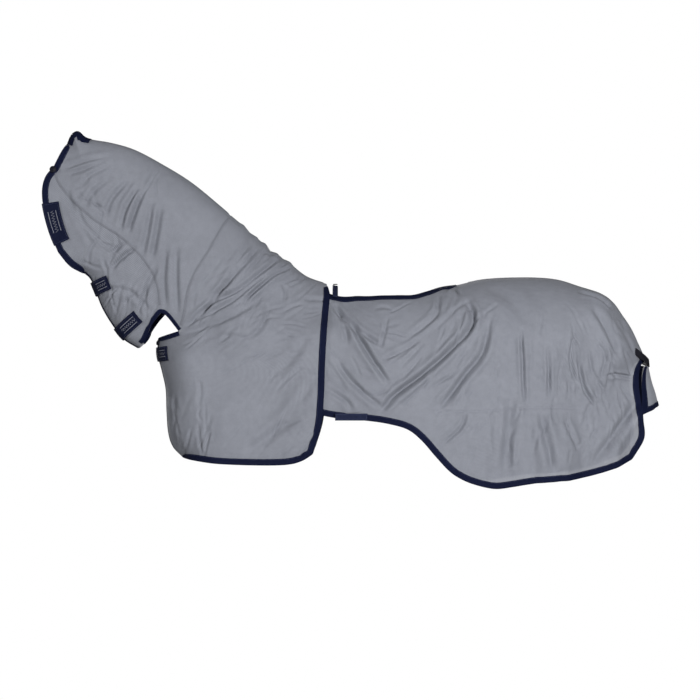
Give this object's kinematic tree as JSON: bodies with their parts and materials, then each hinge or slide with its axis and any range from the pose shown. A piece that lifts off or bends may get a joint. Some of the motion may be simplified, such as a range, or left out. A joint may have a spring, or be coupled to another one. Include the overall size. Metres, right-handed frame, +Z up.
{
  "type": "fly sheet",
  "caption": "Horse fly sheet for riding, with a hooded front section that closes under the throat, a rear section cut away for the saddle, and a flap over the tail.",
  "frame": {"origin": "top of the withers on the centre plane", "axes": "+X towards the tail, +Y the horse's right side, +Z up"},
  "size_m": [2.1514, 0.6332, 1.2379],
  "materials": {
    "mesh_grey": "open knitted mesh, dull",
    "binding_navy": "folded woven tape, dull",
    "tab_navy": "hook and loop tape and webbing, dull",
    "toggle_black": "moulded, slight sheen"
  },
  "bodies": {
    "rear_section": {"body_left": "mesh_grey", "body_right": "mesh_grey", "rear_hem_binding_left": "binding_navy", "rear_hem_binding_right": "binding_navy", "saddle_binding_left": "binding_navy", "saddle_binding_right": "binding_navy", "spine_tape": "mesh_grey", "tail_band": "binding_navy", "withers_band": "tab_navy", "withers_loop": "toggle_black"},
    "front_section": {"brow_toggle_left": "toggle_black", "brow_toggle_right": "toggle_black", "cheek_left": "mesh_grey", "cheek_patch_left": "tab_navy", "cheek_patch_right": "tab_navy", "cheek_right": "mesh_grey", "cheek_seam_tape_left": "mesh_grey", "cheek_seam_tape_right": "mesh_grey", "chest_binding_left": "binding_navy", "chest_binding_right": "binding_navy", "collar_binding_left": "binding_navy", "collar_binding_right": "binding_navy", "collar_toggle_left": "toggle_black", "collar_toggle_right": "toggle_black", "face_binding_left": "binding_navy", "face_binding_right": "binding_navy", "front_hem_binding_left": "binding_navy", "front_hem_binding_right": "binding_navy", "neck_crest_tape": "mesh_grey", "neck_left": "mesh_grey", "neck_right": "mesh_grey", "neck_seam_tape_left": "mesh_grey", "neck_seam_tape_right": "mesh_grey", "poll_band": "binding_navy", "shoulder_left": "mesh_grey", "shoulder_right": "mesh_grey", "throat_binding_left": "binding_navy", "throat_binding_right": "binding_navy", "withers_crest_tape": "mesh_grey"},
    "throat_tab_upper": {"throat_tab_upper": "tab_navy"},
    "throat_tab_lower": {"throat_tab_lower": "tab_navy"},
    "chest_tab": {"chest_tab": "tab_navy"},
    "girth_tab_left": {"girth_tab_left": "tab_navy"},
    "girth_tab_right": {"girth_tab_right": "tab_navy"},
    "tail_cover": {"tail_flap": "mesh_grey", "tail_flap_binding": "binding_navy"}
  },
  "joints": [
    {"name": "front_section_off", "type": "slide", "parent": "rear_section", "child": "front_section", "axis": [-0.8, 0, 0.6], "range_m": [0, 0.25]},
    {"name": "throat_tab_upper_opens", "type": "hinge", "parent": "front_section", "child": "throat_tab_upper", "pos_m": [-0.74395, -0.10273, 0.00548], "axis": [-0.3708, 0, 0.9287], "range_deg": [0, 70]},
    {"name": "throat_tab_lower_opens", "type": "hinge", "parent": "front_section", "child": "throat_tab_lower", "pos_m": [-0.64239, -0.1113, -0.11249], "axis": [-0.6295, 0, 0.777], "range_deg": [0, 70]},
    {"name": "chest_tab_opens", "type": "hinge", "parent": "front_section", "child": "chest_tab", "pos_m": [-0.53979, -0.13579, -0.24163], "axis": [-0.1255, 0, 0.9921], "range_deg": [0, 70]},
    {"name": "girth_tab_left_lifts", "type": "hinge", "parent": "rear_section", "child": "girth_tab_left", "pos_m": [0.09181, -0.2976, -0.446], "axis": [-0.9993, 0.0362, 0], "range_deg": [0, 110]},
    {"name": "girth_tab_right_lifts", "type": "hinge", "parent": "rear_section", "child": "girth_tab_right", "pos_m": [0.09181, 0.2976, -0.446], "axis": [0.9993, 0.0362, 0], "range_deg": [0, 110]},
    {"name": "tail_cover_lifts", "type": "hinge", "parent": "rear_section", "child": "tail_cover", "pos_m": [1.1333, 0, -0.2913], "axis": [0, -1, 0], "range_deg": [0, 100]}
  ]
}
